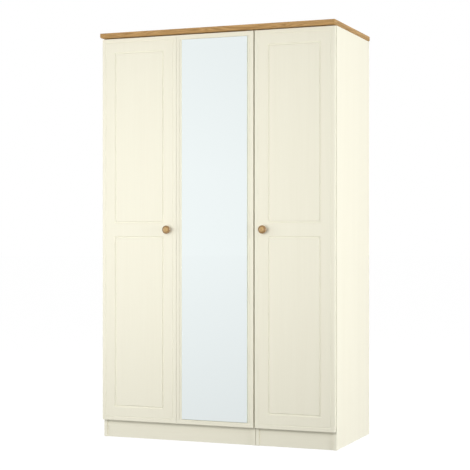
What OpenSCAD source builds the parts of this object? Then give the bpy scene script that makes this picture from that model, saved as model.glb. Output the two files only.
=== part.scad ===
// Three-door wardrobe: a wide two-door carcass and a narrow one-door carcass under one top board.
// Millimetres, +Z up, the doors face -Y. The origin is on the floor, at the middle of the outline.

/* [Body] */
// Width over both carcasses
body_w = 1102; // [1060:1:1160]
// Height to the top of the top board
body_h = 1825; // [1780:1:1900]
// Depth from the doors' front faces to the rear
body_d = 525; // [500:1:600]
// Width of the narrow carcass
narrow_w = 366; // [350:1:380]
// Gap between the two carcasses
unit_gap = 2; // [1:0.5:3]
// Thickness of the carcass panels
panel_t = 15; // [15:1:16]
// Height of the plinths
plinth_h = 75; // [60:1:90]
// How far the plinths stand back from the side panels' front edges
plinth_setback = 5; // [2:1:30]
// Depth of the rails across the top of each carcass
top_rail_w = 90; // [70:1:120]

/* [Top board] */
// Thickness of the top board
top_t = 22; // [18:1:28]
// How far the top board stands out at each side
top_side_over = 3; // [2:1:15]
// How far the top board stands out in front of the doors
top_front_over = 16; // [5:1:20]
// Radius of its lower front and end edges
top_edge_r = 8; // [4:1:12]

/* [Back panels] */
// Thickness of the hardboard back panels
back_t = 3; // [3:0.5:5]
// How far the back panels stand in from the rear
back_inset = 10; // [8:1:20]
// Depth of the grooves that hold the back panels
back_groove = 6; // [4:1:8]

/* [Doors] */
// Thickness of the doors
door_t = 18; // [18:1:19]
// Height of the doors' lower edge
door_bottom = 79; // [78:1:95]
// Gap between the doors and the top board
door_top_gap = 4; // [3:1:8]
// How far each door stands in from the outer edges of its carcass
door_reveal = 2; // [1:0.5:2.5]
// Gap between the two doors of the wide carcass
pair_gap = 1; // [1:0.5:3]
// Gap between the doors and the carcass front
door_stand = 2; // [2:0.5:3]
// Distance from a door's edge to the middle of its panel line
frame_w = 65; // [55:1:80]
// Height of the middle of the doors' cross rail
lock_rail_z = 938; // [880:1:1000]
// Height of the cross rail between its two lines
lock_rail_h = 66; // [50:1:100]
// Width of the routed panel lines
line_w = 9; // [6:0.5:12]
// Depth of the routed panel lines
line_depth = 3; // [1:0.25:4]
// Distance from a door's edges to the fine line around it
rim_inset = 17; // [12:1:22]
// Width of the fine line
rim_w = 4; // [2:0.5:5]
// Depth of the fine line
rim_depth = 1.2; // [0.4:0.1:1.6]

/* [Mirror] */
// Width of the mirror
mirror_w = 309; // [280:1:320]
// Height of the mirror
mirror_h = 1677; // [1600:1:1690]
// Thickness of the glass
mirror_t = 3; // [3:0.5:4]
// Thickness of the tape behind it
tape_t = 1; // [0.8:0.1:1.2]

/* [Knobs] */
// Diameter of the knobs
knob_d = 37; // [30:1:45]
// How far the knobs stand out from the doors
knob_out = 28; // [24:1:35]
// Distance from a door's free edge to its knob
knob_inset = 41; // [32:1:50]

/* [Hinges] */
// Distance of the first and last hinge from the door's ends
hinge_end = 110; // [80:1:200]

/* [Inside] */
// Height of the hat shelf's underside
shelf_z = 1500; // [1400:1:1580]
// How far the hat shelf stands back from the carcass front
shelf_setback = 30; // [20:1:80]
// Drop from the hat shelf to the middle of the hanging rail
rail_drop = 50; // [40:1:70]
// Outer diameter of the hanging rail
rail_d = 25; // [19:1:30]

/* [Hidden] */
$fn = 48;

cream = "#f1edda";
cream_inside = "#ece7d3";
oak = "#b8945f";
steel = "#b9bcc0";
board_brown = "#8a6b4a";
clear_plastic = "#dfe3e2";

// A sliver that lets one solid reach past another's face where it cuts
cut = 0.5;
// Clearance around screws, dowels and pins in their holes
fit_gap = 0.1;

// Front to back
y_door = (knob_out - body_d) / 2;
y_rear = y_door + body_d;
y_door_back = y_door + door_t;
y_carcass = y_door_back + door_stand;
y_back_rear = y_rear - back_inset;
y_back_front = y_back_rear - back_t;
y_rear_rail = y_back_front - top_rail_w;
inner_d = y_back_front - y_carcass;

// Side to side
wide_w = body_w - unit_gap - narrow_w;
wide_x = -body_w / 2;
narrow_x = body_w / 2 - narrow_w;
door_w = (wide_w - pair_gap) / 2 - door_reveal;

// The doors as [left edge x, width, hinged side: -1 left or 1 right]
left_door = [wide_x + door_reveal, door_w, -1];
mirror_door = [wide_x + wide_w - door_reveal - door_w, door_w, 1];
right_door = [narrow_x + door_reveal, narrow_w - 2 * door_reveal, 1];
function hung_left(door) = door[2] < 0;
function hinge_edge_x(door) = hung_left(door) ? door[0] : door[0] + door[1];
// The x at a distance in from a door's free edge
function free_edge_x(door, inset) = hung_left(door) ? door[0] + door[1] - inset : door[0] + inset;

// Bottom to top
carcass_h = body_h - top_t;
door_h = carcass_h - door_top_gap - door_bottom;
door_top = door_bottom + door_h;
base_z = plinth_h;
top_rail_z = carcass_h - panel_t;
rail_z = shelf_z - rail_drop;

// Dowels: diameter, and how far each end reaches into its panel
dowel_d = 8;
dowel_in_side = 10;
dowel_in_end = 22;
// Each dowel's place as [y, z], the same on both ends of both carcasses
dowel_places = concat(
    [for (f = [0.1, 0.5, 0.9]) [y_carcass + f * inner_d, base_z + panel_t / 2]],
    [for (f = [0.25, 0.75]) [y_carcass + f * top_rail_w, top_rail_z + panel_t / 2]],
    [for (f = [0.25, 0.75]) [y_back_front - f * top_rail_w, top_rail_z + panel_t / 2]],
    [[y_carcass + plinth_setback + panel_t / 2, plinth_h / 2]],
    [[y_back_front - panel_t / 2, plinth_h / 2]]
);

// Back panel joining strip
joiner_web = 1.5;
joiner_w = 20;

// Hat shelf support pins
pin_d = 5;
pin_in = 9;
pin_out = 9;
shelf_back_gap = 5;
shelf_side_gap = 0.5;
pin_inset = 50;

// Hanging rail sockets
socket_flange_d = 46;
socket_flange_t = 3;
socket_wall = 2.5;
socket_depth = 14;
rail_wall = 1.2;
rail_fit = 0.3;
y_rail = y_carcass + inner_d / 2;
socket_screw_r = 19;
socket_screw_d = 3;
socket_screw_head_d = 5.5;
socket_screw_head_h = 1.2;
socket_screw_len = 13;

// Bolts between the carcasses
connector_d = 6;
connector_head_d = 15;
connector_head_t = 1.5;
connector_z = [320, 1580];
connector_inset = 75;

// Screws up through the top rails into the top board
top_screw_d = 4;
top_screw_head_d = 8;
top_screw_head_h = 1.6;
top_screw_len = 30;
top_screw_inset = 60;

// Hinges, in a frame with x inward from the door's edge, y back from the door's front face
hinge_z = [door_bottom + hinge_end, (door_bottom + door_top) / 2, door_top - hinge_end];
side_face = panel_t - door_reveal;
cup_x = 22.5;
cup_r = 17.5;
cup_depth = 12;
cup_wall = 1;
flange_r = 19.5;
flange_t = 1.2;
wing_r = 6;
cup_screw_z = 24;
knuckle = [21.5, 11];
knuckle_r = 1.5;
knuckle_fit = 0.06;
link_t = 2.4;
link_w = 12;
link_eye_r = 3.2;
link_offset = 16;
link_bend = [knuckle[0] + 0.55 * link_offset, knuckle[1] + 0.5];
link_shoulder = [knuckle[0] + link_offset, knuckle[1] + 12];
link_end = [link_shoulder[0], knuckle[1] + 65];
arm_t = 1.5;
arm_gap = 0.4;
arm_start = 23;
arm_end = 78;
plate_t = 2.5;
plate_y = door_t + door_stand + 37;
plate_hole_z = 16;
plate_r = 8;
block_len = 34;
block_h = 8;
hinge_screw_d = 3.5;
hinge_screw_head_d = 7;
hinge_screw_head_h = 1.8;
hinge_screw_len = 11;

// Door bumpers
bumper_d = 8;
bumper_t = 1.8;
bumper_drop = 6;
bumper_inset = 30;

// Knob screw
knob_screw_d = 4;
knob_screw_head_d = 9;
knob_screw_head_h = 1.5;
knob_screw_reach = 14;

// ---------- shared shapes ----------

// A box from its lowest corner
module box_at(x, y, z, w, d, h) {
    translate([x, y, z]) cube([w, d, h]);
}

// A cylinder along +X, +Y from the point [x, y, z]
module rod_x(x, y, z, r, len) {
    translate([x, y, z]) rotate([0, 90, 0]) cylinder(r = r, h = len);
}
module rod_y(x, y, z, r, len) {
    translate([x, y, z]) rotate([-90, 0, 0]) cylinder(r = r, h = len);
}

// A pan-head screw that points along +Z, with its head under the plane z = 0.
// With grow above 0 it is the hole for its shank instead.
module screw(d, head_d, head_h, len, grow = 0) {
    start = grow > 0 ? cut : 0;
    translate([0, 0, -start]) cylinder(r = d / 2 + grow, h = len + grow + start);
    if (grow == 0)
        translate([0, 0, -head_h]) cylinder(r = head_d / 2, h = head_h);
}

// ---------- carcass panels ----------

module dowel_set(x0, w, grow = 0) {
    for (p = dowel_places) {
        rod_x(x0 + panel_t - dowel_in_side - grow, p[0], p[1], dowel_d / 2 + grow,
              dowel_in_side + dowel_in_end + 2 * grow);
        rod_x(x0 + w - panel_t - dowel_in_end - grow, p[0], p[1], dowel_d / 2 + grow,
              dowel_in_side + dowel_in_end + 2 * grow);
    }
}

module dowels(x0, w) {
    color(oak) dowel_set(x0, w);
}

// Everything that is bored into a side panel
module side_bores() {
    dowel_set(wide_x, wide_w, fit_gap);
    dowel_set(narrow_x, narrow_w, fit_gap);
    shelf_pin_set(fit_gap);
    socket_screw_set(fit_gap);
    connector_set(fit_gap);
    plate_screw_set(fit_gap);
}

// A side panel whose groove for the back panel opens towards inward, +1 or -1
module side_panel(x, inward) {
    groove_x = inward > 0 ? x + panel_t - back_groove : x - cut;
    color(cream)
    difference() {
        box_at(x, y_carcass, 0, panel_t, y_rear - y_carcass, carcass_h);
        box_at(groove_x, y_back_front - fit_gap, -cut,
               back_groove + cut, back_t + 2 * fit_gap, carcass_h + 2 * cut);
        side_bores();
    }
}

// A panel between the sides of a carcass, with dowel holes in its ends
module cross_panel(x0, w, y, z, d, h) {
    difference() {
        box_at(x0 + panel_t, y, z, w - 2 * panel_t, d, h);
        dowel_set(x0, w, fit_gap);
    }
}

module base_panel(x0, w) {
    color(cream_inside) cross_panel(x0, w, y_carcass, base_z, inner_d, panel_t);
}

module top_rail(x0, w, y) {
    color(cream_inside)
    difference() {
        cross_panel(x0, w, y, top_rail_z, top_rail_w, panel_t);
        top_screw_set(fit_gap);
    }
}

module plinth(x0, w) {
    color(cream) cross_panel(x0, w, y_carcass + plinth_setback, 0, panel_t, plinth_h);
}

module rear_plinth(x0, w) {
    color(cream_inside) cross_panel(x0, w, y_back_front - panel_t, 0, panel_t, plinth_h);
}

// A back panel between two x values, from just above the floor to the top
module back_sheet(x1, x2) {
    floor_gap = 20;
    color(board_brown)
    box_at(x1, y_back_front, floor_gap, x2 - x1, back_t, carcass_h - floor_gap);
}

module hat_shelf(x0, w) {
    color(cream_inside)
    box_at(x0 + panel_t + shelf_side_gap, y_carcass + shelf_setback, shelf_z,
           w - 2 * panel_t - 2 * shelf_side_gap, inner_d - shelf_setback - shelf_back_gap, panel_t);
}

// ---------- top board ----------

// Points round a lower edge of the board, from its face at u = 0 to its underside
edge_steps = 8;
edge_arc = [for (i = [0:edge_steps])
    let (a = 90 * i / edge_steps)
    [top_edge_r * (1 - cos(a)), top_edge_r * (1 - sin(a))]];

module top_board() {
    w = body_w + 2 * top_side_over;
    d = body_d + top_front_over;
    other_arc = [for (i = [edge_steps:-1:0]) [w - edge_arc[i][0], edge_arc[i][1]]];
    color(oak)
    difference() {
        intersection() {
            // rounded along the front
            translate([-w / 2, y_rear - d, carcass_h])
            rotate([90, 0, 90])
            linear_extrude(w) polygon(concat([[d, 0], [d, top_t], [0, top_t]], edge_arc));
            // rounded along both ends
            translate([-w / 2, y_rear, carcass_h])
            rotate([90, 0, 0])
            linear_extrude(d) polygon(concat([[0, top_t]], edge_arc, other_arc, [[w, top_t]]));
        }
        top_screw_set(fit_gap);
    }
}

// ---------- fittings in the carcasses ----------

// The inner faces that carry fittings: [x, direction into the carcass]
function inner_faces(x0, w) = [[x0 + panel_t, 1], [x0 + w - panel_t, -1]];
all_faces = concat(inner_faces(wide_x, wide_w), inner_faces(narrow_x, narrow_w));

// Put the children on an inner face, with +Z into the carcass
module on_face(f, y, z) {
    translate([f[0], y, z]) rotate([0, f[1] * 90, 0]) children();
}

module shelf_pin_set(grow = 0) {
    for (f = all_faces)
        for (y = [y_carcass + shelf_setback + pin_inset, y_back_front - pin_inset])
            on_face(f, y, shelf_z - pin_d / 2)
                translate([0, 0, -pin_in - grow])
                cylinder(r = pin_d / 2 + grow, h = pin_in + pin_out + 2 * grow);
}

module socket_screw_set(grow = 0) {
    for (f = all_faces)
        for (s = [-1, 1])
            on_face(f, y_rail + s * socket_screw_r, rail_z)
                translate([0, 0, socket_flange_t])
                mirror([0, 0, 1])
                screw(socket_screw_d, socket_screw_head_d, socket_screw_head_h,
                        socket_screw_len, grow);
}

module shelf_pins() {
    color(steel) shelf_pin_set();
}

module rail_socket_screws() {
    color(steel) socket_screw_set();
}

module rail_sockets() {
    socket_r = rail_d / 2 + rail_fit;
    color(steel)
    for (f = all_faces)
        on_face(f, y_rail, rail_z)
            difference() {
                union() {
                    cylinder(d = socket_flange_d, h = socket_flange_t);
                    cylinder(r = socket_r + socket_wall, h = socket_depth);
                }
                translate([0, 0, socket_flange_t])
                cylinder(r = socket_r, h = socket_depth);
                for (s = [-1, 1])
                    translate([0, s * socket_screw_r, -cut])
                    cylinder(r = socket_screw_d / 2 + fit_gap, h = socket_flange_t + 2 * cut);
            }
}

module hanging_rail(x0, w) {
    play = 0.5;
    from = x0 + panel_t + socket_flange_t + play;
    len = w - 2 * (panel_t + socket_flange_t + play);
    color(steel)
    difference() {
        rod_x(from, y_rail, rail_z, rail_d / 2, len);
        rod_x(from - cut, y_rail, rail_z, rail_d / 2 - rail_wall, len + 2 * cut);
    }
}

// Bolts through both middle side panels, with a flat cap at each end, or the holes for them
module connector_set(grow = 0) {
    over = grow > 0 ? cut : 0;
    x1 = wide_x + wide_w - panel_t;
    x2 = narrow_x + panel_t;
    for (z = connector_z)
        for (y = [y_carcass + connector_inset, y_back_front - connector_inset]) {
            rod_x(x1 - over, y, z, connector_d / 2 + grow, x2 - x1 + 2 * over);
            if (grow == 0)
                for (x = [x1 - connector_head_t, x2])
                    rod_x(x, y, z, connector_head_d / 2, connector_head_t);
        }
}

module top_screw_set(grow = 0) {
    for (u = [[wide_x, wide_w], [narrow_x, narrow_w]])
        for (x = [u[0] + panel_t + top_screw_inset, u[0] + u[1] - panel_t - top_screw_inset])
            for (y = [y_carcass + top_rail_w / 2, y_back_front - top_rail_w / 2])
                translate([x, y, top_rail_z])
                screw(top_screw_d, top_screw_head_d, top_screw_head_h, top_screw_len, grow);
}

module unit_connectors() {
    color(steel) connector_set();
}

module top_board_screws() {
    color(steel) top_screw_set();
}

// ---------- hinges ----------

// Put the children at each hinge of a door, in the hinge's own frame
module at_hinges(door) {
    for (z = hinge_z)
        translate([hinge_edge_x(door), y_door, z])
            if (hung_left(door)) children();
            else mirror([1, 0, 0]) children();
}

module cup_screw_set(door, grow = 0) {
    at_hinges(door)
        for (s = [-1, 1])
            translate([cup_x, door_t + flange_t, s * cup_screw_z])
            rotate([90, 0, 0])
            screw(hinge_screw_d, hinge_screw_head_d, hinge_screw_head_h, hinge_screw_len, grow);
}

module hinge_cups(door) {
    color(steel)
    at_hinges(door) {
        difference() {
            union() {
                rod_y(cup_x, door_t - cup_depth, 0, cup_r, cup_depth + flange_t);
                rod_y(cup_x, door_t, 0, flange_r, flange_t);
                for (s = [-1, 1])
                    rod_y(cup_x, door_t, s * cup_screw_z, wing_r, flange_t);
                box_at(cup_x - wing_r, door_t, -cup_screw_z, 2 * wing_r, flange_t, 2 * cup_screw_z);
            }
            rod_y(cup_x, door_t - cup_depth + cup_wall, 0, cup_r - cup_wall, cup_depth + flange_t);
            for (s = [-1, 1])
                rod_y(cup_x, door_t - cut, s * cup_screw_z, hinge_screw_d / 2 + fit_gap,
                      flange_t + 2 * cut);
        }
        // the knuckle pin across the cup
        translate([knuckle[0], knuckle[1], -(cup_r - cup_wall / 2)])
        cylinder(r = knuckle_r, h = 2 * cup_r - cup_wall);
    }
}

// A flat strip from a to b in the plane, with round ends
module strip(a, b, t) {
    d = b - a;
    translate(a)
    rotate(atan2(d[1], d[0]))
    translate([0, -t / 2])
    square([norm(d), t]);
    translate(a) circle(d = t);
    translate(b) circle(d = t);
}

module hinge_links(door) {
    color(steel)
    at_hinges(door)
        translate([0, 0, -link_w / 2])
        linear_extrude(link_w)
        difference() {
            union() {
                translate(knuckle) circle(r = link_eye_r);
                strip(knuckle, link_bend, link_t);
                strip(link_bend, link_shoulder, link_t);
                strip(link_shoulder, link_end, link_t);
            }
            translate(knuckle) circle(r = knuckle_r + knuckle_fit);
        }
}

// The fixed arm: a channel that is open towards the side panel, over the sliding link
module hinge_arms(door) {
    web_x = link_shoulder[0] + link_t / 2 + arm_gap;
    half_w = link_w / 2 + arm_gap + arm_t;
    foot_x = side_face + plate_t;
    color(steel)
    at_hinges(door)
        difference() {
            box_at(foot_x, arm_start, -half_w, web_x + arm_t - foot_x, arm_end - arm_start, 2 * half_w);
            box_at(foot_x - cut, arm_start - cut, -half_w + arm_t,
                   web_x - foot_x + cut, arm_end - arm_start + 2 * cut, 2 * (half_w - arm_t));
        }
}

module hinge_plates(door) {
    block_w = link_w + 2 * arm_gap - 2 * fit_gap;
    color(steel)
    at_hinges(door) {
        difference() {
            union() {
                for (s = [-1, 1])
                    rod_x(side_face, plate_y, s * plate_hole_z, plate_r, plate_t);
                box_at(side_face, plate_y - plate_r, -plate_hole_z, plate_t, 2 * plate_r, 2 * plate_hole_z);
            }
            for (s = [-1, 1])
                rod_x(side_face - cut, plate_y, s * plate_hole_z, hinge_screw_d / 2 + fit_gap,
                      plate_t + 2 * cut);
        }
        box_at(side_face, plate_y - block_len / 2, -block_w / 2, block_h, block_len, block_w);
    }
}

module plate_screw_set(grow = 0) {
    for (door = [left_door, mirror_door, right_door])
        at_hinges(door)
            for (s = [-1, 1])
                translate([side_face + plate_t, plate_y, s * plate_hole_z])
                rotate([0, -90, 0])
                screw(hinge_screw_d, hinge_screw_head_d, hinge_screw_head_h, hinge_screw_len, grow);
}

module hinge_plate_screws() {
    color(steel) plate_screw_set();
}

module cup_screws(door) {
    color(steel) cup_screw_set(door);
}

// ---------- doors ----------

// A round-bottomed line, w wide, that is routed around a rectangle on a door's front face
module routed_line(x1, x2, z1, z2, w, depth) {
    r = (w * w / 4 + depth * depth) / (2 * depth);
    y = y_door + depth - r;
    for (z = [z1, z2])
        rod_x(x1, y, z, r, x2 - x1);
    for (x = [x1, x2]) {
        translate([x, y, z1]) cylinder(r = r, h = z2 - z1);
        for (z = [z1, z2])
            translate([x, y, z]) sphere(r = r);
    }
}

// A door, with or without the two routed panels and the hole for the knob's screw
module door_panel(door, panelled) {
    x1 = door[0] + frame_w;
    x2 = door[0] + door[1] - frame_w;
    color(cream)
    difference() {
        box_at(door[0], y_door, door_bottom, door[1], door_t, door_h);
        routed_line(door[0] + rim_inset, door[0] + door[1] - rim_inset,
                    door_bottom + rim_inset, door_top - rim_inset, rim_w, rim_depth);
        if (panelled) {
            routed_line(x1, x2, door_bottom + frame_w, lock_rail_z - lock_rail_h / 2, line_w, line_depth);
            routed_line(x1, x2, lock_rail_z + lock_rail_h / 2, door_top - frame_w, line_w, line_depth);
            rod_y(free_edge_x(door, knob_inset), y_door - cut, lock_rail_z,
                  knob_screw_d / 2 + fit_gap, door_t + 2 * cut);
        }
        at_hinges(door)
            rod_y(cup_x, door_t - cup_depth - fit_gap, 0, cup_r + fit_gap, cup_depth + cut);
        cup_screw_set(door, fit_gap);
    }
}

// A turned knob: a round foot, a hollow neck, a flared cup with a bead round it, and a domed crown
knob_r = knob_d / 2;
foot_r = 0.46 * knob_r;
foot_h = 2;
neck_r = 0.36 * knob_r;
neck_h = 9;
flare_h = 7;
bead_h = 17.5;
bead_rise = 5.5;
bead_w = 3;
crown_groove = [0.8 * knob_r, 22.2];
crown_edge = 0.72 * knob_r;
crown_r = 18;
function crown_h(r) = knob_out - (crown_r - sqrt(crown_r * crown_r - r * r));

// Its outline as [radius, height above the door], from the foot to the crown
knob_outline = concat(
    [[0, 0], [foot_r, 0]],
    [for (a = [0:15:90]) [foot_r - (foot_r - neck_r) * sin(a), foot_h + (neck_h - foot_h) * a / 90]],
    [for (a = [15:15:75]) [neck_r + (knob_r - neck_r) * (1 - cos(a)), neck_h + flare_h * sin(a)]],
    [for (a = [0:15:90]) [knob_r - bead_w * (1 - cos(a)), bead_h + bead_rise * sin(a)]],
    [crown_groove],
    [for (f = [1:-0.125:0]) [f * crown_edge, crown_h(f * crown_edge)]]
);

module knob(door) {
    color(oak)
    translate([free_edge_x(door, knob_inset), y_door, lock_rail_z])
    rotate([90, 0, 0])
    difference() {
        rotate_extrude($fn = 96) polygon(knob_outline);
        translate([0, 0, -cut]) cylinder(r = knob_screw_d / 2 + fit_gap, h = knob_screw_reach + 2 * cut);
    }
}

module knob_screw(door) {
    color(steel)
    translate([free_edge_x(door, knob_inset), y_door_back, lock_rail_z])
    rotate([90, 0, 0])
    screw(knob_screw_d, knob_screw_head_d, knob_screw_head_h, door_t + knob_screw_reach);
}

module door_bumpers(door) {
    color(clear_plastic)
    for (z = [door_bottom + bumper_drop, door_top - bumper_drop])
        rod_y(free_edge_x(door, bumper_inset), y_door_back, z, bumper_d / 2, bumper_t);
}

// ---------- mirror ----------

mirror_x = mirror_door[0] + (door_w - mirror_w) / 2;
mirror_z = door_bottom + (door_h - mirror_h) / 2;

module mirror_glass() {
    color("#dcebea")
    box_at(mirror_x, y_door - tape_t - mirror_t, mirror_z, mirror_w, mirror_t, mirror_h);
}

// Vertical strips of double-sided tape
module mirror_tape() {
    tape_w = 25;
    tape_inset = 20;
    color("white")
    for (f = [0, 0.5, 1])
        box_at(mirror_x + tape_inset + f * (mirror_w - 2 * tape_inset - tape_w),
               y_door - tape_t, mirror_z + tape_inset, tape_w, tape_t, mirror_h - 2 * tape_inset);
}

// ---------- back panels ----------

groove_play = 1;
function back_span(x0, w) = [x0 + panel_t - back_groove + groove_play,
                             x0 + w - panel_t + back_groove - groove_play];
wide_back_x = back_span(wide_x, wide_w);
narrow_back_x = back_span(narrow_x, narrow_w);
wide_back_mid = (wide_back_x[0] + wide_back_x[1]) / 2;
web_half = joiner_web / 2 + fit_gap;

// A plastic strip with an H section that holds the two back sheets together
module wide_back_joiner() {
    flange = 1.5;
    z1 = base_z + panel_t + 1;
    z2 = top_rail_z - 1;
    color("white")
    translate([wide_back_mid, 0, z1])
    linear_extrude(z2 - z1) {
        translate([-joiner_w / 2, y_back_front - flange]) square([joiner_w, flange]);
        translate([-joiner_w / 2, y_back_rear]) square([joiner_w, flange]);
        translate([-joiner_web / 2, y_back_front - cut]) square([joiner_web, back_t + 2 * cut]);
    }
}

// ---------- nodes ----------

top_board();
side_panel(wide_x, 1);  // wide_left_side
side_panel(wide_x + wide_w - panel_t, -1);  // wide_right_side
base_panel(wide_x, wide_w);  // wide_base
top_rail(wide_x, wide_w, y_carcass);  // wide_front_top_rail
top_rail(wide_x, wide_w, y_rear_rail);  // wide_rear_top_rail
plinth(wide_x, wide_w);  // wide_plinth
rear_plinth(wide_x, wide_w);  // wide_rear_plinth
back_sheet(wide_back_x[0], wide_back_mid - web_half);  // wide_back_left
back_sheet(wide_back_mid + web_half, wide_back_x[1]);  // wide_back_right
wide_back_joiner();
hat_shelf(wide_x, wide_w);  // wide_hat_shelf
hanging_rail(wide_x, wide_w);  // wide_hanging_rail
dowels(wide_x, wide_w);  // wide_dowels
side_panel(narrow_x, 1);  // narrow_left_side
side_panel(narrow_x + narrow_w - panel_t, -1);  // narrow_right_side
base_panel(narrow_x, narrow_w);  // narrow_base
top_rail(narrow_x, narrow_w, y_carcass);  // narrow_front_top_rail
top_rail(narrow_x, narrow_w, y_rear_rail);  // narrow_rear_top_rail
plinth(narrow_x, narrow_w);  // narrow_plinth
rear_plinth(narrow_x, narrow_w);  // narrow_rear_plinth
back_sheet(narrow_back_x[0], narrow_back_x[1]);  // narrow_back
hat_shelf(narrow_x, narrow_w);  // narrow_hat_shelf
hanging_rail(narrow_x, narrow_w);  // narrow_hanging_rail
dowels(narrow_x, narrow_w);  // narrow_dowels
shelf_pins();
rail_sockets();
rail_socket_screws();
unit_connectors();
top_board_screws();
hinge_plates(left_door);  // left_hinge_plates
hinge_arms(left_door);  // left_hinge_arms
hinge_plates(mirror_door);  // mirror_hinge_plates
hinge_arms(mirror_door);  // mirror_hinge_arms
hinge_plates(right_door);  // right_hinge_plates
hinge_arms(right_door);  // right_hinge_arms
hinge_plate_screws();
hinge_links(left_door);  // left_hinge_links
hinge_links(mirror_door);  // mirror_hinge_links
hinge_links(right_door);  // right_hinge_links
door_panel(left_door, true);  // left_door_panel
knob(left_door);  // left_knob
knob_screw(left_door);  // left_knob_screw
hinge_cups(left_door);  // left_hinge_cups
cup_screws(left_door);  // left_cup_screws
door_bumpers(left_door);  // left_door_bumpers
door_panel(mirror_door, false);  // mirror_door_panel
mirror_tape();
mirror_glass();
hinge_cups(mirror_door);  // mirror_hinge_cups
cup_screws(mirror_door);  // mirror_cup_screws
door_bumpers(mirror_door);  // mirror_door_bumpers
door_panel(right_door, true);  // right_door_panel
knob(right_door);  // right_knob
knob_screw(right_door);  // right_knob_screw
hinge_cups(right_door);  // right_hinge_cups
cup_screws(right_door);  // right_cup_screws
door_bumpers(right_door);  // right_door_bumpers
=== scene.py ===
"""The looks of a three-door wardrobe: foil-wrapped cream doors, an oak-effect top board and a mirror."""
import math

import bmesh
import bpy
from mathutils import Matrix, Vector

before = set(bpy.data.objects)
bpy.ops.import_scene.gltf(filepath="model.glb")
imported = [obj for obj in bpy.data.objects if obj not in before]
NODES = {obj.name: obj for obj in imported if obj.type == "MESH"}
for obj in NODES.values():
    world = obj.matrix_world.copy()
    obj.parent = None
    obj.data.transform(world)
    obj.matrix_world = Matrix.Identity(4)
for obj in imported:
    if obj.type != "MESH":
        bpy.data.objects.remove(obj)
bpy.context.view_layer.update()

# Colours, as linear RGB
CREAM = (0.800, 0.774, 0.640)
CREAM_PALE = (0.822, 0.797, 0.666)
CREAM_DEEP = (0.762, 0.734, 0.598)
OAK_LIGHT = (0.560, 0.342, 0.140)
OAK_MID = (0.475, 0.283, 0.110)
OAK_DARK = (0.350, 0.200, 0.074)
OAK_PORE = (0.230, 0.125, 0.045)
KNOB_LIGHT = (0.560, 0.366, 0.148)
KNOB_MID = (0.470, 0.296, 0.108)
KNOB_DARK = (0.300, 0.173, 0.056)
CHIP_LIGHT = (0.560, 0.400, 0.230)
CHIP_DARK = (0.300, 0.190, 0.095)
HARDBOARD = (0.265, 0.150, 0.075)
HARDBOARD_DARK = (0.165, 0.088, 0.042)
BEECH = (0.590, 0.395, 0.220)
BEECH_DARK = (0.455, 0.280, 0.145)
NICKEL = (0.610, 0.590, 0.555)
CHROME = (0.700, 0.705, 0.715)
ZINC = (0.560, 0.570, 0.580)
SILVERING = (0.871, 0.930, 0.930)
GLASS_EDGE = (0.560, 0.690, 0.610)
BACKING_PAINT = (0.210, 0.225, 0.235)
WHITE_PLASTIC = (0.780, 0.780, 0.760)
TAPE_FOAM = (0.740, 0.740, 0.720)
BUMPER = (0.720, 0.740, 0.730)
WHITE = (1.0, 1.0, 1.0)
# Tones that colours are multiplied by: the cream grain's streaks, the oak's darker areas, the top board's
# ends, the painted shade on the knobs' rims and in their grooves, and the hardboard's clouds
STREAK_TONE = (0.984, 0.982, 0.976)
BROAD_TONE = (0.88, 0.86, 0.82)
OAK_END_TONE = (0.90, 0.93, 0.94)
KNOB_RIM_SHADE = (0.66, 0.60, 0.54)
KNOB_GROOVE_SHADE = (0.50, 0.42, 0.34)
CLOUD_TONE = (0.84, 0.82, 0.80)

# The camera: focal length in mm, place, turn about the vertical in degrees, and small shifts of its frame
LENS = 100.3
CAMERA_PLACE = (2.191, -5.5475, 0.910)
CAMERA_TURN = 21.58
CAMERA_SHIFT = (0.0003, 0.0021)

# How bright the room's even light is, how brightly the backdrop and the floor glow, and the floor's own grey
WORLD_LIGHT = 0.28
BACKDROP_GLOW = 1.0
FLOOR_GLOW = 0.98
FLOOR_BASE = 0.06
# Each light: name, place, the point it faces, width, height, watts, and whether shiny surfaces show it
STUDIO_LIGHTS = (
    ("left_tall", (-4.0, -2.05, 1.0), (-0.10, -0.25, 1.0), 0.8, 2.2, 39.0, True),
    ("left_low", (-1.2, -2.85, 0.5), (-0.10, -0.25, 0.95), 0.8, 0.8, 4.0, False),
    ("front_tall", (-1.2, -2.45, 1.2), (-0.10, -0.25, 1.2), 0.8, 2.4, 18.0, False),
    ("front_middle", (-0.3, -2.05, 1.0), (-0.10, -0.25, 0.95), 0.6, 0.6, 7.5, False),
    ("front_high", (0.8, -3.45, 1.8), (-0.10, -0.25, 0.95), 1.1, 1.1, 24.0, False),
    ("right_tall", (3.5, -1.0, 1.2), (0.55, 0.0, 1.2), 0.8, 2.4, 23.0, True),
    ("right_low", (2.5, -0.6, 0.3), (0.55, 0.0, 0.95), 0.6, 0.6, 6.0, True),
    ("right_far", (8.0, -2.0, 1.5), (0.55, 0.0, 1.5), 1.5, 3.0, 120.0, True),
    ("right_rear", (5.0, -0.3, 1.3), (0.55, 0.0, 1.3), 1.0, 2.6, 82.0, True),
    ("left_rear", (-4.0, 1.2, 1.2), (-0.55, 0.0, 0.95), 1.0, 2.4, 55.0, False),
    ("rear", (-0.6, 3.6, 1.5), (0.0, 0.28, 0.9), 2.0, 2.0, 60.0, False),
    ("overhead", (0.5, 0.2, 4.0), (0.3, 0.0, 1.0), 1.5, 1.5, 44.0, False),
)
# Reach of the floor each way, and radius of the backdrop
GROUND_REACH = 60.0
SHELL_RADIUS = 55.0

# The mirror shows a fan of the room ahead of it, from MIRROR_FRONT on the Y axis. For each metre the fan
# leans FAN_LEAN metres to the left and gets wider by a share of FAN_SPREAD
MIRROR_FRONT = -0.25
FAN_LEAN = 0.414
FAN_SPREAD = 0.2
# Where the fan's glow starts and stops falling, as places across the mirror, and the glow at its dim side
SIDE_FADE = (-0.16, 0.145)
SIDE_GLOW = 0.98
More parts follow.
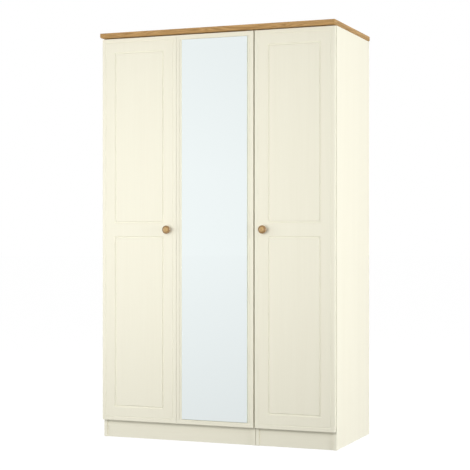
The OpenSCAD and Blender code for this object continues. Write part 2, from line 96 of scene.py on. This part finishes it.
# The heights where the room's glow starts and stops falling, and the glow above them
HIGH_FADE = (3.9, 9.5)
HIGH_GLOW = 0.954
# How much glow the floor lacks at the mirror, and the distance at which it lacks half of that
NEAR_DIMMING = 0.15
NEAR_REACH = 4.5

# Waves per metre across and along the grain, for the cream foil's figure, streaks and pores, and for beech
FOIL_FIGURE = (22.0, 1.1)
FOIL_STREAKS = (190.0, 3.5)
FOIL_PORES = (950.0, 22.0)
BEECH_GRAIN = (400.0, 25.0)
# Waves per metre of the scratches in metal: across and along long ones, and the three ways of short ones
LONG_SCRATCHES = (2600.0, 60.0)
SHORT_SCRATCHES = (1500.0, 1500.0, 1500.0)
# How fine the rings and pores of the oak foil and of the knobs' solid oak are
OAK_RINGS = 14.0
OAK_PORES = 1360.0
KNOB_RINGS = 60.0
KNOB_PORES = 1680.0
# The scale of the oak's ring and pore patterns along the grain, which draws them out
RING_STRETCH = 0.055
PORE_STRETCH = 0.03

# The knobs: radii where the painted shade on the rim starts and ends, the groove's radius and half the width
# of the painted shade in it, and the tool marks, in radians per metre
KNOB_RIM = (0.0095, 0.0145)
KNOB_GROOVE = 0.0122
GROOVE_REACH = 0.0009
TOOL_MARKS = 7000.0

# Roughness of the mirror where it is clean and where it is smeared, and of its polished edges
CLEAN_GLASS = 0.012
SMEARED_GLASS = 0.035
EDGE_ROUGH = 0.18

# How squarely a surface has to face along an axis to count as a board's end, rear edge or inner side, or as
# the front or the back of the glass
END_FACING = 0.7
REAR_FACING = 0.8
INSIDE_FACING = -0.5
GLASS_FRONT_FACING = -0.95
GLASS_BACK_FACING = 0.9

# Sockets of a Mix node: its two inputs and its output, for colours and for vectors
COLOUR_SOCKETS = (6, 7, 2)
VECTOR_SOCKETS = (4, 5, 1)

# Widths of the rounded edges in metres
BOARD_EDGE = 0.0004
DOOR_EDGE = 0.0004
TOP_EDGE = 0.0010
SHEET_EDGE = 0.0003
GLASS_BEVEL = 0.0006

# Corners closer together than this are joined, and edges this close to a side of a board's box are on it
WELD_REACH = 0.00001
OUTLINE_REACH = 0.00002
# Faces that turn by fewer degrees than FLAT_ANGLE become one, and edges sharper than CRISP_ANGLE stay crisp
FLAT_ANGLE = 0.4
CRISP_ANGLE = 32.0


# ---------------------------------------------------------------- camera, lights and floor

def make_camera():
    """A level camera ahead of the wardrobe and to its right."""
    data = bpy.data.cameras.new("camera")
    data.lens = LENS
    data.sensor_width = 36.0
    data.shift_x, data.shift_y = CAMERA_SHIFT
    camera = bpy.data.objects.new("camera", data)
    camera.location = CAMERA_PLACE
    camera.rotation_euler = (math.radians(90.0), 0.0, math.radians(CAMERA_TURN))
    bpy.context.scene.collection.objects.link(camera)
    bpy.context.scene.camera = camera


def area_light(name, place, target, width, height, watts, in_gloss):
    """A rectangular light that faces a point; in_gloss says whether shiny surfaces also show it."""
    data = bpy.data.lights.new(name, "AREA")
    data.shape = "RECTANGLE"
    data.size = width
    data.size_y = height
    data.energy = watts
    light = bpy.data.objects.new(name, data)
    light.location = place
    light.rotation_euler = (Vector(target) - Vector(place)).to_track_quat("-Z", "Y").to_euler()
    light.visible_glossy = in_gloss
    bpy.context.scene.collection.objects.link(light)


def make_studio():
    """Even light from all around, and the studio's lights."""
    scene = bpy.context.scene
    scene.view_settings.view_transform = "Standard"
    world = bpy.data.worlds.new("studio")
    world.use_nodes = True
    background = world.node_tree.nodes["Background"]
    background.inputs["Color"].default_value = (*WHITE, 1.0)
    background.inputs["Strength"].default_value = WORLD_LIGHT
    scene.world = world
    for light in STUDIO_LIGHTS:
        area_light(*light)


def studio_surface(name, glow, base):
    """A pale material that glows evenly, with a matt grey base that light and shadow show on."""
    material = bpy.data.materials.new(name)
    material.use_nodes = True
    shader = material.node_tree.nodes["Principled BSDF"]
    shader.inputs["Base Color"].default_value = (base, base, base, 1.0)
    shader.inputs["Roughness"].default_value = 0.9
    shader.inputs["Specular IOR Level"].default_value = 0.0
    shader.inputs["Emission Color"].default_value = (*WHITE, 1.0)
    shader.inputs["Emission Strength"].default_value = glow
    return material


def stage_object(name, mesh, material, seen_by):
    """Adds a studio object that only the named kinds of ray meet."""
    mesh.materials.append(material)
    obj = bpy.data.objects.new(name, mesh)
    bpy.context.scene.collection.objects.link(obj)
    for kind in ("camera", "diffuse", "glossy", "transmission", "volume_scatter", "shadow"):
        setattr(obj, f"visible_{kind}", kind in seen_by)


def ground_mesh(name):
    """A level square at floor height."""
    mesh = bpy.data.meshes.new(name)
    ways = ((-1, -1), (1, -1), (1, 1), (-1, 1))
    corners = [(GROUND_REACH * x, GROUND_REACH * y, 0.0) for x, y in ways]
    mesh.from_pydata(corners, [], [(0, 1, 2, 3)])
    return mesh


def shell_mesh(name):
    """A sphere around the whole studio."""
    mesh = bpy.data.meshes.new(name)
    shell = bmesh.new()
    bmesh.ops.create_uvsphere(shell, u_segments=48, v_segments=24, radius=SHELL_RADIUS)
    shell.to_mesh(mesh)
    shell.free()
    return mesh


def room_glow(name, on_ground):
    """The glow of the room that the mirror shows: dimmer to the right, high up and on the floor close by."""
    paint = Paint(name)
    where = paint.add("ShaderNodeTexCoord").outputs["Object"]
    x, y, z = (paint.part(where, axis) for axis in "XYZ")
    ahead = paint.math("MAXIMUM", paint.math("SUBTRACT", MIRROR_FRONT, y), 0.0)
    across = paint.math("ADD", x, paint.math("MULTIPLY", ahead, FAN_LEAN))
    spread = paint.math("ADD", 1.0, paint.math("MULTIPLY", ahead, FAN_SPREAD))
    glow = paint.remap(paint.math("DIVIDE", across, spread), *SIDE_FADE, 1.0, SIDE_GLOW)
    if on_ground:
        distance = paint.math("ADD", 1.0, paint.math("DIVIDE", ahead, NEAR_REACH))
        fade = paint.math("SUBTRACT", 1.0, paint.math("DIVIDE", NEAR_DIMMING, distance))
    else:
        fade = paint.remap(z, *HIGH_FADE, 1.0, HIGH_GLOW)
    glow = paint.math("MULTIPLY", glow, fade)
    light = paint.add("ShaderNodeEmission", {"Strength": glow, "Color": (*WHITE, 1.0)})
    paint.tree.links.new(light.outputs[0], paint.add("ShaderNodeOutputMaterial").inputs[0])
    return paint.material


def make_room():
    """A plain pale floor and a white backdrop, and the room that shows in the mirror."""
    floor = studio_surface("studio_floor", FLOOR_GLOW, FLOOR_BASE)
    backdrop = studio_surface("studio_backdrop", BACKDROP_GLOW, 0.0)
    low_glow = room_glow("mirrored_floor", True)
    high_glow = room_glow("mirrored_room", False)
    stage_object("floor", ground_mesh("floor"), floor, ("camera", "shadow"))
    stage_object("backdrop", shell_mesh("backdrop"), backdrop, ("camera",))
    stage_object("mirrored_floor", ground_mesh("mirrored_floor"), low_glow, ("glossy",))
    stage_object("mirrored_room", shell_mesh("mirrored_room"), high_glow, ("glossy",))


# ---------------------------------------------------------------- material helpers

class Paint:
    """A material's node tree, with short calls for the nodes that the finishes below share."""

    def __init__(self, name):
        self.material = bpy.data.materials.new(name)
        self.material.use_nodes = True
        self.tree = self.material.node_tree
        self.tree.nodes.clear()

    def add(self, kind, inputs=None, **settings):
        """A new node; an input is a number, a colour or another node's output."""
        node = self.tree.nodes.new(kind)
        for name, value in settings.items():
            setattr(node, name, value)
        for key, value in (inputs or {}).items():
            if isinstance(value, bpy.types.NodeSocket):
                self.tree.links.new(value, node.inputs[key])
            else:
                node.inputs[key].default_value = value
        return node

    def place(self, scale=(1.0, 1.0, 1.0), shift=(0.0, 0.0, 0.0)):
        """The point on the object in its own metres, scaled and then shifted."""
        where = self.add("ShaderNodeTexCoord").outputs["Object"]
        return self.mapped(where, Scale=scale, Location=shift)

    def mapped(self, vector, **change):
        """A vector after a change of Scale, Rotation or Location."""
        return self.add("ShaderNodeMapping", {"Vector": vector, **change}).outputs["Vector"]

    def part(self, vector, axis):
        """One number of a vector: X, Y or Z."""
        return self.add("ShaderNodeSeparateXYZ", {"Vector": vector}).outputs[axis]

    def facing(self, axis):
        """How far the surface faces along an axis, from -1 to 1, in the object's own frame."""
        return self.part(self.add("ShaderNodeTexCoord").outputs["Normal"], axis)

    def noise(self, vector, scale=1.0, detail=4.0, rough=0.55, bend=0.0):
        """Cloudy noise; `detail` adds finer octaves, `rough` strengthens them and `bend` makes them swirl."""
        inputs = {"Vector": vector, "Scale": scale, "Detail": detail, "Roughness": rough, "Distortion": bend}
        return self.add("ShaderNodeTexNoise", inputs).outputs["Fac"]

    def math(self, operation, a, b=0.0, c=0.0):
        """A sum, product or other result of numbers and outputs."""
        return self.add("ShaderNodeMath", {0: a, 1: b, 2: c}, operation=operation).outputs[0]

    def remap(self, value, low, high, to_low=0.0, to_high=1.0):
        """A value from low to high, moved onto the range from to_low to to_high and kept within it."""
        inputs = {"Value": value, "From Min": low, "From Max": high, "To Min": to_low, "To Max": to_high}
        return self.add("ShaderNodeMapRange", inputs).outputs["Result"]

    def mix(self, share, a, b, mode="MIX"):
        """A mix of two colours, each a colour or an output."""
        first, second, result = COLOUR_SOCKETS
        a, b = (value if isinstance(value, bpy.types.NodeSocket) else (*value, 1.0) for value in (a, b))
        inputs = {"Factor": share, first: a, second: b}
        return self.add("ShaderNodeMix", inputs, data_type="RGBA", blend_type=mode).outputs[result]

    def mix_vectors(self, share, a, b):
        """A mix of two outputs that are vectors."""
        first, second, result = VECTOR_SOCKETS
        inputs = {"Factor": share, first: a, second: b}
        return self.add("ShaderNodeMix", inputs, data_type="VECTOR").outputs[result]

    def tint(self, colour, tone):
        """A colour multiplied by another."""
        return self.mix(1.0, colour, tone, "MULTIPLY")

    def ramp(self, value, *stops):
        """A colour ramp from (position, colour) stops."""
        node = self.add("ShaderNodeValToRGB", {"Fac": value})
        elements = node.color_ramp.elements
        while len(elements) < len(stops):
            elements.new(0.5)
        for element, (position, colour) in zip(elements, stops):
            element.position = position
            element.color = (*colour, 1.0)
        return node.outputs["Color"]

    def bump(self, height, strength, depth, under=None):
        """A bump of a real depth in metres, over another bump."""
        inputs = {"Height": height, "Strength": strength, "Distance": depth}
        if under is not None:
            inputs["Normal"] = under
        return self.add("ShaderNodeBump", inputs).outputs["Normal"]

    def finish(self, colour, rough, normal, **others):
        """The surface shader; others are its further inputs, such as Metallic."""
        inputs = {"Base Color": colour, "Roughness": rough, "Normal": normal}
        inputs.update({key.replace("_", " "): value for key, value in others.items()})
        shader = self.add("ShaderNodeBsdfPrincipled", inputs)
        self.tree.links.new(shader.outputs[0], self.add("ShaderNodeOutputMaterial").inputs[0])
        return self.material


def grain_scale(axis, across, along):
    """The scale that draws a pattern out along one axis, from its waves per metre across and along."""
    return tuple(along if name == axis else across for name in "XYZ")


# ---------------------------------------------------------------- wood and boards

def cream_foil(paint, axis):
    """Colour, roughness and bump of the cream wood-grain foil, with its grain along an axis."""
    figure = paint.noise(paint.place(grain_scale(axis, *FOIL_FIGURE)), detail=3.0, bend=0.4)
    streaks = paint.noise(paint.place(grain_scale(axis, *FOIL_STREAKS)), detail=5.0, rough=0.62)
    specks = paint.noise(paint.place(grain_scale(axis, *FOIL_PORES)), detail=2.0, rough=0.5)
    pores = paint.remap(specks, 0.56, 0.70)
    colour = paint.ramp(figure, (0.30, CREAM_DEEP), (0.50, CREAM), (0.72, CREAM_PALE))
    colour = paint.mix(0.80, colour, CREAM)
    colour = paint.tint(colour, paint.ramp(streaks, (0.30, STREAK_TONE), (0.66, WHITE)))
    colour = paint.mix(paint.math("MULTIPLY", pores, 0.08), colour, CREAM_DEEP)
    rough = paint.remap(streaks, 0.25, 0.75, 0.44, 0.56)
    normal = paint.bump(streaks, strength=0.12, depth=0.0002)
    normal = paint.bump(pores, strength=0.25, depth=-0.0001, under=normal)
    return colour, rough, normal


def chipboard(paint):
    """Colour and bump of the bare chipboard that shows on the cut edges behind."""
    place = paint.place((1.0, 1.0, 0.55))
    chips = paint.add("ShaderNodeTexVoronoi", {"Vector": place, "Scale": 420.0}).outputs
    dust = paint.noise(place, scale=900.0)
    shade = paint.math("MULTIPLY", chips["Color"], dust)
    colour = paint.ramp(shade, (0.05, CHIP_DARK), (0.55, CHIP_LIGHT))
    return colour, paint.bump(chips["Distance"], strength=0.5, depth=0.0006)


def cream_board(name, axis):
    """A carcass board: cream foil on its faces and front edge, and bare chipboard on its rear edge."""
    paint = Paint(name)
    foil, _, foil_bump = cream_foil(paint, axis)
    core, core_bump = chipboard(paint)
    rear = paint.math("GREATER_THAN", paint.facing("Y"), REAR_FACING)
    colour = paint.mix(rear, foil, core)
    rough = paint.remap(rear, 0.0, 1.0, 0.5, 0.9)
    normal = paint.mix_vectors(rear, foil_bump, core_bump)
    return paint.finish(colour, rough, normal, Specular_IOR_Level=0.42)


def cream_door():
    """The doors' foil, whose sheen is a little higher than the carcass's."""
    paint = Paint("cream_door_foil")
    colour, rough, normal = cream_foil(paint, "Z")
    return paint.finish(colour, rough, normal, Specular_IOR_Level=0.45)


def oak(paint, place, light, middle, dark, ring_scale, pore_scale):
    """Colour, roughness and bump of oak, with its grain along the Z axis of the place that is given."""
    along = paint.mapped(place, Scale=(1.0, 1.0, RING_STRETCH))
    # The rings wander, as their place moves by the square of a slow noise
    bend = paint.noise(along, scale=9.0, detail=3.0, rough=0.5)
    bent = paint.add("ShaderNodeVectorMath", {0: bend, 1: bend, 2: along}, operation="MULTIPLY_ADD")
    waves = {"Vector": bent.outputs[0], "Scale": ring_scale, "Distortion": 7.0, "Detail": 3.0,
             "Detail Scale": 1.6, "Detail Roughness": 0.6}
    rings = paint.add("ShaderNodeTexWave", waves, bands_direction="DIAGONAL").outputs["Fac"]
    fibres = paint.noise(along, scale=260.0, detail=5.0, rough=0.65)
    grain = paint.math("ADD", paint.math("MULTIPLY", rings, 0.45), paint.math("MULTIPLY", fibres, 0.55))
    colour = paint.ramp(grain, (0.22, dark), (0.48, middle), (0.74, light))
    areas = paint.noise(along, scale=12.0, detail=2.0)
    colour = paint.tint(colour, paint.ramp(areas, (0.30, BROAD_TONE), (0.70, WHITE)))
    short = paint.mapped(place, Scale=(1.0, 1.0, PORE_STRETCH))
    specks = paint.remap(paint.noise(short, scale=pore_scale, detail=2.0, rough=0.5), 0.58, 0.68)
    pores = paint.math("MULTIPLY", specks, paint.remap(rings, 0.2, 0.8, 0.35, 1.0))
    colour = paint.mix(paint.math("MULTIPLY", pores, 0.55), colour, OAK_PORE)
    rough = paint.remap(fibres, 0.3, 0.7, 0.50, 0.38)
    normal = paint.bump(fibres, strength=0.30, depth=0.0003)
    normal = paint.bump(pores, strength=0.45, depth=-0.0002, under=normal)
    return colour, rough, normal


def oak_top():
    """The top board's oak foil, with its grain along the board and along the edging of its ends."""
    paint = Paint("oak_effect_foil")
    where = paint.add("ShaderNodeTexCoord").outputs["Object"]
    quarter = math.radians(90.0)
    along = paint.mapped(where, Rotation=(0.0, quarter, 0.0))
    across = paint.mapped(where, Rotation=(quarter, 0.0, 0.0))
    end = paint.math("GREATER_THAN", paint.math("ABSOLUTE", paint.facing("X")), END_FACING)
    place = paint.mix_vectors(end, along, across)
    colour, rough, normal = oak(paint, place, OAK_LIGHT, OAK_MID, OAK_DARK, OAK_RINGS, OAK_PORES)
    colour = paint.tint(colour, paint.mix(end, WHITE, OAK_END_TONE))
    return paint.finish(colour, paint.math("ADD", rough, 0.15), normal, Specular_IOR_Level=0.15)


def turned_oak(knob):
    """Solid oak, turned and waxed, with fine rings from the tool; painted shade darkens its rim and groove
    against the crown.
    """
    corners = [Vector(corner) for corner in NODES[knob].bound_box]
    middle = sum(corners, Vector()) / len(corners)
    paint = Paint(f"turned_oak_{knob}")
    where = paint.place(shift=(-middle.x, 0.0, -middle.z))
    x, z = (paint.part(where, axis) for axis in "XZ")
    square = paint.math("ADD", paint.math("MULTIPLY", x, x), paint.math("MULTIPLY", z, z))
    radius = paint.math("SQRT", square)
    colour, rough, normal = oak(paint, where, KNOB_LIGHT, KNOB_MID, KNOB_DARK, KNOB_RINGS, KNOB_PORES)
    # Painted shade: the colour darkens towards the rim, where the rounded edge turns from the light, and in
    # the groove, where shade falls
    shade = paint.mix(paint.remap(radius, *KNOB_RIM), WHITE, KNOB_RIM_SHADE)
    groove = paint.math("COMPARE", radius, KNOB_GROOVE, GROOVE_REACH)
    shade = paint.mix(paint.math("MULTIPLY", groove, 0.45), shade, KNOB_GROOVE_SHADE)
    colour = paint.tint(colour, shade)
    marks = paint.math("SINE", paint.math("MULTIPLY", radius, TOOL_MARKS))
    normal = paint.bump(marks, strength=0.15, depth=0.00003, under=normal)
    gloss = {"Specular_IOR_Level": 0.5, "Coat_Weight": 0.6, "Coat_Roughness": 0.12}
    return paint.finish(colour, rough, normal, **gloss)


def beech():
    """Plain beech with small flecks, its grain along the dowels."""
    paint = Paint("beech")
    place = paint.place(grain_scale("X", *BEECH_GRAIN))
    fibres = paint.noise(place)
    flecks = paint.remap(paint.noise(place, scale=2.4, detail=2.0), 0.60, 0.66)
    colour = paint.ramp(fibres, (0.3, BEECH_DARK), (0.7, BEECH))
    colour = paint.mix(paint.math("MULTIPLY", flecks, 0.5), colour, BEECH_DARK)
    rough = paint.remap(fibres, 0.3, 0.7, 0.7, 0.6)
    return paint.finish(colour, rough, paint.bump(fibres, strength=0.4, depth=0.0002))


def hardboard():
    """Back panels: cream on the side that faces into the wardrobe, bare brown fibre behind."""
    paint = Paint("hardboard")
    cream, _, cream_bump = cream_foil(paint, "Z")
    where = paint.place()
    fibres = paint.noise(where, scale=650.0, detail=6.0, rough=0.7, bend=0.6)
    clouds = paint.noise(where, scale=6.0, rough=0.6)
    mesh_print = paint.add("ShaderNodeTexVoronoi", {"Vector": where, "Scale": 560.0}).outputs["Distance"]
    brown = paint.ramp(fibres, (0.28, HARDBOARD_DARK), (0.68, HARDBOARD))
    brown = paint.tint(brown, paint.ramp(clouds, (0.35, CLOUD_TONE), (0.65, WHITE)))
    inside = paint.math("LESS_THAN", paint.facing("Y"), INSIDE_FACING)
    colour = paint.mix(inside, brown, cream)
    rough = paint.remap(inside, 0.0, 1.0, 0.82, 0.5)
    brown_bump = paint.bump(fibres, strength=0.4, depth=0.0003)
    brown_bump = paint.bump(mesh_print, strength=0.35, depth=0.0003, under=brown_bump)
    normal = paint.mix_vectors(inside, brown_bump, cream_bump)
    return paint.finish(colour, rough, normal, Specular_IOR_Level=0.3)


# ---------------------------------------------------------------- metal, glass and plastic

def metal(name, base, rough_low, rough_high, scratch_axis=None):
    """Plated metal with faint clouds, and fine scratches along an axis or, with none given, all ways."""
    paint = Paint(name)
    clouds = paint.noise(paint.place(), scale=160.0, rough=0.6)
    scale = grain_scale(scratch_axis, *LONG_SCRATCHES) if scratch_axis else SHORT_SCRATCHES
    scratches = paint.noise(paint.place(scale), detail=3.0, rough=0.6)
    dull = tuple(0.84 * part for part in base)
    colour = paint.ramp(clouds, (0.30, dull), (0.62, base))
    rough = paint.remap(clouds, 0.3, 0.7, rough_low, rough_high)
    rough = paint.math("ADD", rough, paint.remap(scratches, 0.3, 0.7, -0.03, 0.04))
    normal = paint.bump(scratches, strength=0.15, depth=0.00005)
    return paint.finish(colour, rough, normal, Metallic=1.0)


def mirror():
    """Silvered glass: the face mirrors, the polished edges are green, and the back is painted."""
    paint = Paint("mirror_silvered")
    smears = paint.noise(paint.place((1.0, 1.0, 0.6)), scale=7.0, detail=5.0, rough=0.6, bend=0.8)
    facing = paint.facing("Y")
    face = paint.math("LESS_THAN", facing, GLASS_FRONT_FACING)
    behind = paint.math("GREATER_THAN", facing, GLASS_BACK_FACING)
    colour = paint.mix(behind, GLASS_EDGE, BACKING_PAINT)
    colour = paint.mix(face, colour, SILVERING)
    glass = paint.remap(smears, 0.45, 0.70, CLEAN_GLASS, SMEARED_GLASS)
    rough = paint.remap(face, 0.0, 1.0, EDGE_ROUGH, glass)
    ripples = paint.noise(paint.place(), scale=2.5, detail=1.0)
    normal = paint.bump(ripples, strength=0.02, depth=0.0002)
    return paint.finish(colour, rough, normal, Metallic=face)


def soft_plastic(name, base, rough, speckle=900.0, **others):
    """Plastic, foam or rubber with a fine grain and faint patches."""
    paint = Paint(name)
    grain = paint.noise(paint.place(), scale=speckle, detail=3.0, rough=0.6)
    patches = paint.noise(paint.place(), scale=30.0, detail=3.0, rough=0.5)
    dull = tuple(0.94 * part for part in base)
    colour = paint.ramp(patches, (0.3, dull), (0.7, base))
    uneven = paint.remap(grain, 0.3, 0.7, rough - 0.05, rough + 0.05)
    return paint.finish(colour, uneven, paint.bump(grain, strength=0.2, depth=0.0001), **others)


# ---------------------------------------------------------------- edges of the carried-over nodes

def geometry_group(name):
    """An empty geometry node group with one geometry in and one out."""
    group = bpy.data.node_groups.new(name, "GeometryNodeTree")
    for way in ("INPUT", "OUTPUT"):
        group.interface.new_socket("Geometry", in_out=way, socket_type="NodeSocketGeometry")
    return group, group.nodes.new("NodeGroupInput"), group.nodes.new("NodeGroupOutput")


def outline_weight_group():
    """Gives the edges along the outline of a board, and not those of its bores, a bevel weight."""
    group, start, end = geometry_group("board_outline")
    new, link = group.nodes.new, group.links.new
    box, where = new("GeometryNodeBoundBox"), new("GeometryNodeInputPosition")
    link(start.outputs[0], box.inputs[0])
    from_low, from_high, nearest = (new("ShaderNodeVectorMath") for _ in range(3))
    from_low.operation = from_high.operation = "SUBTRACT"
    nearest.operation = "MINIMUM"
    link(where.outputs[0], from_low.inputs[0])
    link(box.outputs["Min"], from_low.inputs[1])
    link(box.outputs["Max"], from_high.inputs[0])
    link(where.outputs[0], from_high.inputs[1])
    link(from_low.outputs[0], nearest.inputs[0])
    link(from_high.outputs[0], nearest.inputs[1])
    parts = new("ShaderNodeSeparateXYZ")
    link(nearest.outputs[0], parts.inputs[0])
    # The number of axes on which the middle of the edge is on a side of the box: an outline edge has two
    total = None
    for axis in "XYZ":
        on_side = new("ShaderNodeMath")
        on_side.operation = "LESS_THAN"
        on_side.inputs[1].default_value = OUTLINE_REACH
        link(parts.outputs[axis], on_side.inputs[0])
        if total is None:
            total = on_side.outputs[0]
        else:
            adding = new("ShaderNodeMath")
            link(total, adding.inputs[0])
            link(on_side.outputs[0], adding.inputs[1])
            total = adding.outputs[0]
    weight = new("ShaderNodeMath")
    weight.operation = "GREATER_THAN"
    weight.inputs[1].default_value = 1.5
    link(total, weight.inputs[0])
    store = new("GeometryNodeStoreNamedAttribute")
    store.data_type, store.domain = "FLOAT", "EDGE"
    store.inputs["Name"].default_value = "bevel_weight_edge"
    link(start.outputs[0], store.inputs["Geometry"])
    link(weight.outputs[0], store.inputs["Value"])
    link(store.outputs[0], end.inputs[0])
    return group


def shade_by_angle_group():
    """Smooth faces, with the sharper edges kept crisp."""
    group, start, end = geometry_group("shade_by_angle")
    new, link = group.nodes.new, group.links.new
    faces, edges = new("GeometryNodeSetShadeSmooth"), new("GeometryNodeSetShadeSmooth")
    faces.domain, edges.domain = "FACE", "EDGE"
    faces.inputs["Shade Smooth"].default_value = True
    angle, blunt = new("GeometryNodeInputMeshEdgeAngle"), new("ShaderNodeMath")
    blunt.operation = "LESS_THAN"
    blunt.inputs[1].default_value = math.radians(CRISP_ANGLE)
    link(angle.outputs["Unsigned Angle"], blunt.inputs[0])
    link(start.outputs[0], faces.inputs["Geometry"])
    link(faces.outputs[0], edges.inputs["Geometry"])
    link(blunt.outputs[0], edges.inputs["Shade Smooth"])
    link(edges.outputs[0], end.inputs[0])
    return group


def soften(node, width):
    """Rounds a board's outer edges by a width, if it has one; the node's own mesh stays as it is."""
    obj = NODES[node]
    weld = obj.modifiers.new("weld", "WELD")
    weld.merge_threshold = WELD_REACH
    if width > 0:
        flat = obj.modifiers.new("flat_faces", "DECIMATE")
        flat.decimate_type = "DISSOLVE"
        flat.angle_limit = math.radians(FLAT_ANGLE)
        obj.modifiers.new("outline", "NODES").node_group = OUTLINE
        bevel = obj.modifiers.new("round_edges", "BEVEL")
        bevel.limit_method = "WEIGHT"
        bevel.width = width
        bevel.segments = 3
        bevel.use_clamp_overlap = False
        bevel.loop_slide = False
    obj.modifiers.new("shading", "NODES").node_group = SHADING
    normals = obj.modifiers.new("normals", "WEIGHTED_NORMAL")
    normals.keep_sharp = True


def dress(material, slot_name, *names, edge=0.0):
    """Gives carried-over nodes their finish and rounds their edges by `edge` metres."""
    for name in names:
        obj = NODES[name]
        obj.material_slots[0].material = material
        soften(name, edge)


# ---------------------------------------------------------------- build

make_camera()
make_studio()
make_room()
OUTLINE = outline_weight_group()
SHADING = shade_by_angle_group()
SIDES = ("left", "mirror", "right")

upright = cream_board("cream_board_upright", "Z")
level = cream_board("cream_board_level", "X")
dress(upright, "cream_carcass", "wide_left_side", "wide_right_side", "narrow_left_side",
      "narrow_right_side", edge=BOARD_EDGE)
dress(level, "cream_carcass", "wide_plinth", "narrow_plinth", edge=BOARD_EDGE)
dress(level, "cream_inside", "wide_base", "narrow_base", "wide_front_top_rail", "wide_rear_top_rail",
      "narrow_front_top_rail", "narrow_rear_top_rail", "wide_rear_plinth", "narrow_rear_plinth",
      "wide_hat_shelf", "narrow_hat_shelf", edge=BOARD_EDGE)
dress(hardboard(), "hardboard", "wide_back_left", "wide_back_right", "narrow_back", edge=SHEET_EDGE)
dress(oak_top(), "oak_board", "top_board", edge=TOP_EDGE)
dress(cream_door(), "cream_door", *[f"{side}_door_panel" for side in SIDES], edge=DOOR_EDGE)
for knob in ("left_knob", "right_knob"):
    dress(turned_oak(knob), "oak_knob", knob)
dress(beech(), "beech_dowel", "wide_dowels", "narrow_dowels")
chrome = metal("chrome_plate", CHROME, rough_low=0.08, rough_high=0.16, scratch_axis="X")
dress(chrome, "chrome_rail", "wide_hanging_rail", "narrow_hanging_rail", "rail_sockets")
nickel = metal("nickel_plate", NICKEL, rough_low=0.20, rough_high=0.30, scratch_axis="Y")
hinge_nodes = [f"{side}_hinge_{part}" for side in SIDES for part in ("plates", "arms", "links", "cups")]
dress(nickel, "nickel_hinge", *hinge_nodes)
zinc = metal("zinc_plate", ZINC, rough_low=0.28, rough_high=0.40)
dress(zinc, "steel_fittings", "shelf_pins", "rail_socket_screws", "unit_connectors",
      "top_board_screws", "hinge_plate_screws", "left_knob_screw", "right_knob_screw",
      *[f"{side}_cup_screws" for side in SIDES])
dress(soft_plastic("white_plastic", WHITE_PLASTIC, rough=0.42), "white_plastic", "wide_back_joiner")
dress(soft_plastic("tape_foam", TAPE_FOAM, rough=0.85, speckle=1500.0), "mirror_tape", "mirror_tape")
bumper = soft_plastic("soft_bumper", BUMPER, rough=0.35, Transmission_Weight=0.5, IOR=1.48)
dress(bumper, "soft_bumper", *[f"{side}_door_bumpers" for side in SIDES])
dress(mirror(), "mirror_glass", "mirror_glass", edge=GLASS_BEVEL)
